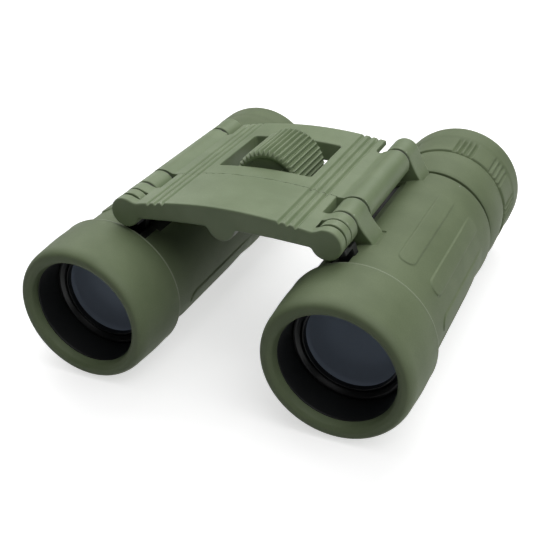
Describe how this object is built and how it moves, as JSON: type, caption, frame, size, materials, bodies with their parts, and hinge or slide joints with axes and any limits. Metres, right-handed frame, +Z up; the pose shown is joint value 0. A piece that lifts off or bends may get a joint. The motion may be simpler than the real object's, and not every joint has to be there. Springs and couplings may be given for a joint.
{
  "type": "folding binocular",
  "caption": "Compact pocket binocular: rubber-clad barrels on a double-hinged bridge with a central ribbed focus wheel.",
  "frame": {"origin": "bottom centre of the bounding box at rest, on the plane that the objective hoods stand on", "axes": "+Y from the objectives to the eyepieces along the barrels, +Z up through the bridge, +X towards the barrel for the user's left eye"},
  "size_m": [0.0952, 0.098, 0.0456],
  "materials": {
    "green_rubber": "matte olive green",
    "green_plastic": "satin sage green",
    "black_plastic": "matte black",
    "optical_glass": "polished and coated",
    "steel": "ground",
    "brass": "machined"
  },
  "bodies": {
    "bridge": {"rear_bridge": "green_plastic", "screw_cap": "green_plastic"},
    "focus_wheel": {"focus_wheel": "green_plastic", "focus_screw": "steel", "front_thrust_washer": "black_plastic", "rear_thrust_washer": "black_plastic", "screw_clip": "steel"},
    "front_bridge": {"front_bridge": "green_plastic", "focus_nut": "brass", "left_hinge_rod": "steel", "right_hinge_rod": "steel"},
    "left_barrel": {"left_barrel_tube": "green_plastic", "left_armour": "green_rubber", "left_objective_hood": "green_rubber", "left_prism_cage": "black_plastic", "left_half_penta_prism": "optical_glass", "left_roof_prism": "optical_glass", "left_eyepiece_housing": "green_plastic", "left_field_stop": "black_plastic"},
    "right_barrel": {"right_barrel_tube": "green_plastic", "right_armour": "green_rubber", "right_objective_hood": "green_rubber", "right_prism_cage": "black_plastic", "right_half_penta_prism": "optical_glass", "right_roof_prism": "optical_glass", "right_eyepiece_housing": "green_plastic", "right_field_stop": "black_plastic", "right_ocular_cell": "black_plastic", "right_field_lens": "optical_glass", "right_lens_spacer": "black_plastic", "right_eye_lens": "optical_glass", "right_eye_lens_ring": "black_plastic", "right_eyecup_ring": "black_plastic", "right_eyecup": "green_rubber"},
    "left_objective": {"left_objective_cell": "black_plastic", "left_objective_lens": "optical_glass", "left_lens_ring": "black_plastic", "left_focus_arm": "black_plastic"},
    "right_objective": {"right_objective_cell": "black_plastic", "right_objective_lens": "optical_glass", "right_lens_ring": "black_plastic", "right_focus_arm": "black_plastic"},
    "dioptre_ring": {"left_dioptre_ring": "black_plastic", "left_eyecup": "green_rubber"},
    "left_ocular": {"left_ocular_cell": "black_plastic", "left_field_lens": "optical_glass", "left_lens_spacer": "black_plastic", "left_eye_lens": "optical_glass", "left_eye_lens_ring": "black_plastic"}
  },
  "joints": [
    {"name": "focus_turn", "type": "hinge", "parent": "bridge", "child": "focus_wheel", "pos_m": [0, -0.0042, 0.0379], "axis": [0, 1, 0], "range_deg": [0, 400]},
    {"name": "front_bridge_slide", "type": "slide", "parent": "bridge", "child": "front_bridge", "axis": [0, -1, 0], "range_m": [0, 0.0042]},
    {"name": "left_fold", "type": "hinge", "parent": "bridge", "child": "left_barrel", "pos_m": [0.0241, 0, 0.0377], "axis": [0, 1, 0], "range_deg": [-17.5, 35.4]},
    {"name": "right_fold", "type": "hinge", "parent": "bridge", "child": "right_barrel", "pos_m": [-0.0241, 0, 0.0377], "axis": [0, -1, 0], "range_deg": [-17.5, 35.4]},
    {"name": "left_objective_slide", "type": "slide", "parent": "left_barrel", "child": "left_objective", "axis": [0, -1, 0], "range_m": [0, 0.0042]},
    {"name": "right_objective_slide", "type": "slide", "parent": "right_barrel", "child": "right_objective", "axis": [0, -1, 0], "range_m": [0, 0.0042]},
    {"name": "dioptre_turn", "type": "hinge", "parent": "left_barrel", "child": "dioptre_ring", "pos_m": [0.0305, 0.036, 0.0171], "axis": [0, 1, 0], "range_deg": [-50, 50]},
    {"name": "left_ocular_slide", "type": "slide", "parent": "left_barrel", "child": "left_ocular", "axis": [0, 1, 0], "range_m": [-0.0009, 0.0009]}
  ],
  "couplings": [
    {"joint": "front_bridge_slide", "follows": "focus_turn", "m_per_rad": 0.0006},
    {"joint": "left_objective_slide", "follows": "focus_turn", "m_per_rad": 0.0006},
    {"joint": "right_objective_slide", "follows": "focus_turn", "m_per_rad": 0.0006},
    {"joint": "left_ocular_slide", "follows": "dioptre_turn", "m_per_rad": 0.001}
  ]
}
